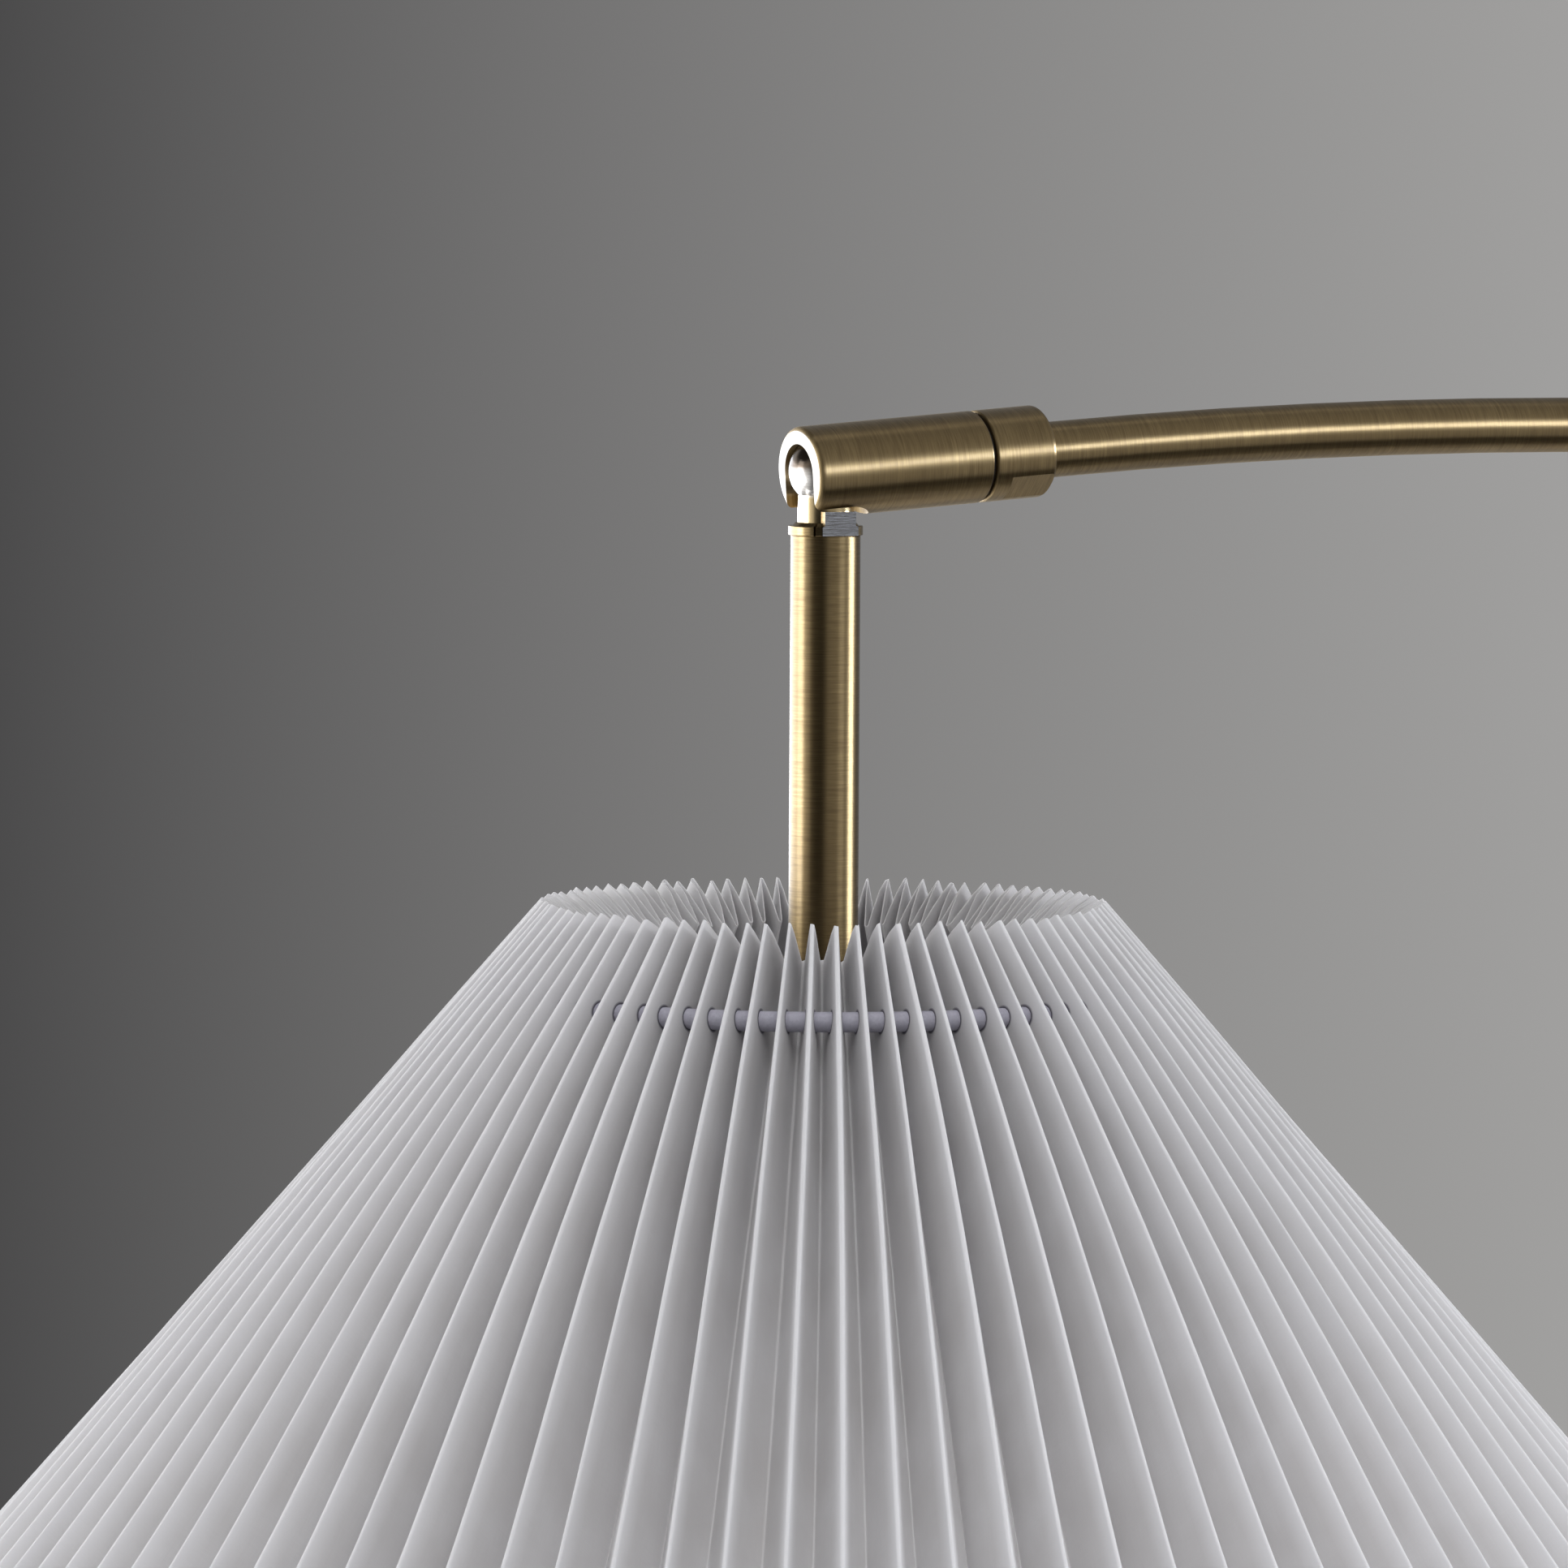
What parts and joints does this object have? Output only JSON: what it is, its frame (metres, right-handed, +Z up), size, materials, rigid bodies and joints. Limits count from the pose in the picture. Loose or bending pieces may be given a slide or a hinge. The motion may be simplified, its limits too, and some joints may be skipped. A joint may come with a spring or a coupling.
{
  "type": "bridge floor lamp",
  "caption": "Floor lamp with a round weighted base, slim brass pole, arched swivelling arm and a pleated cone shade hung from a ball joint on a drop tube.",
  "frame": {"origin": "centre of the base's underside, on the floor", "axes": "+Z up the pole, the arm reaches towards -X, +Y to its side"},
  "size_m": [0.8412, 0.4018, 1.4291],
  "materials": {
    "antique_brass": "brushed antique brass, lacquered",
    "cast_weight": "rough cast",
    "felt": "pressed felt",
    "bushing": "satin rubber",
    "plated_steel": "zinc plated",
    "polished_nickel": "polished nickel, fine turning lines",
    "raw_brass": "machined brass",
    "nylon": "white nylon",
    "fibre": "black fibre",
    "phenolic": "dark moulded phenolic",
    "pleated_cloth": "white pleated cloth on a thin film",
    "white_wire": "white enamelled wire",
    "opal_glass": "opal",
    "bulb_cap": "rolled screw thread"
  },
  "bodies": {
    "stand": {"base_felt": "felt", "base_weight": "cast_weight", "base_cover": "antique_brass", "cord_bushing": "bushing", "base_nipple": "plated_steel", "base_washer": "plated_steel", "base_nut": "plated_steel", "pole_foot": "antique_brass", "pole_plug": "plated_steel", "pole_lower": "antique_brass", "pole_coupler": "antique_brass", "pole_upper": "antique_brass", "pole_cap": "antique_brass", "swivel_washer": "fibre"},
    "swivel": {"swivel_fork": "antique_brass", "swivel_spring": "plated_steel", "swivel_nut": "plated_steel", "tilt_bolt": "antique_brass", "tilt_washers": "nylon", "knob_washer": "nylon"},
    "knob": {"clamp_knob": "antique_brass"},
    "arm": {"arm_root": "antique_brass", "arm_tube": "antique_brass", "end_collar": "antique_brass", "roll_spindle": "plated_steel", "roll_nut": "plated_steel", "roll_washer": "nylon", "groove_washer": "fibre"},
    "head": {"swivel_housing": "antique_brass", "ball_seat": "nylon", "disc_spring": "plated_steel", "pressure_ring": "raw_brass"},
    "stud": {"ball_stud": "polished_nickel", "neck_clip": "plated_steel"},
    "lamp": {"stop_ring": "antique_brass", "tube_bush": "raw_brass", "drop_tube": "antique_brass", "socket_cap": "antique_brass", "socket_body": "phenolic", "screw_shell": "raw_brass", "centre_contact": "raw_brass", "socket_ring_nut": "phenolic", "bulb_base": "bulb_cap", "bulb_glass": "opal_glass", "shade_carrier": "white_wire", "shade_pleats": "pleated_cloth"},
    "switch": {"switch_stem": "plated_steel", "switch_knob": "phenolic"}
  },
  "joints": [
    {"name": "arm_swivel", "type": "hinge", "parent": "stand", "child": "swivel", "pos_m": [0, 0, 1.394], "axis": [0, 0, 1], "range_deg": [-170, 170]},
    {"name": "arm_tilt", "type": "hinge", "parent": "swivel", "child": "arm", "pos_m": [0, 0, 1.394], "axis": [0, 1, 0], "range_deg": [-25, 35]},
    {"name": "knob_turn", "type": "hinge", "parent": "swivel", "child": "knob", "pos_m": [0, 0, 1.394], "axis": [0, -1, 0], "range_deg": [0, 180]},
    {"name": "head_roll", "type": "hinge", "parent": "arm", "child": "head", "pos_m": [-0.5, 0, 1.41436], "axis": [0.9976, 0, 0.0698], "range_deg": [-90, 90]},
    {"name": "shade_tilt", "type": "hinge", "parent": "head", "child": "stud", "pos_m": [-0.5, 0, 1.41436], "axis": [0, 1, 0], "range_deg": [-10, 7]},
    {"name": "shade_spin", "type": "hinge", "parent": "stud", "child": "lamp", "pos_m": [-0.5, 0, 1.41436], "axis": [0, 0, 1], "range_deg": [-170, 170]},
    {"name": "switch_turn", "type": "hinge", "parent": "lamp", "child": "switch", "pos_m": [-0.5, 0, 1.27436], "axis": [1, 0, 0], "continuous": true}
  ]
}
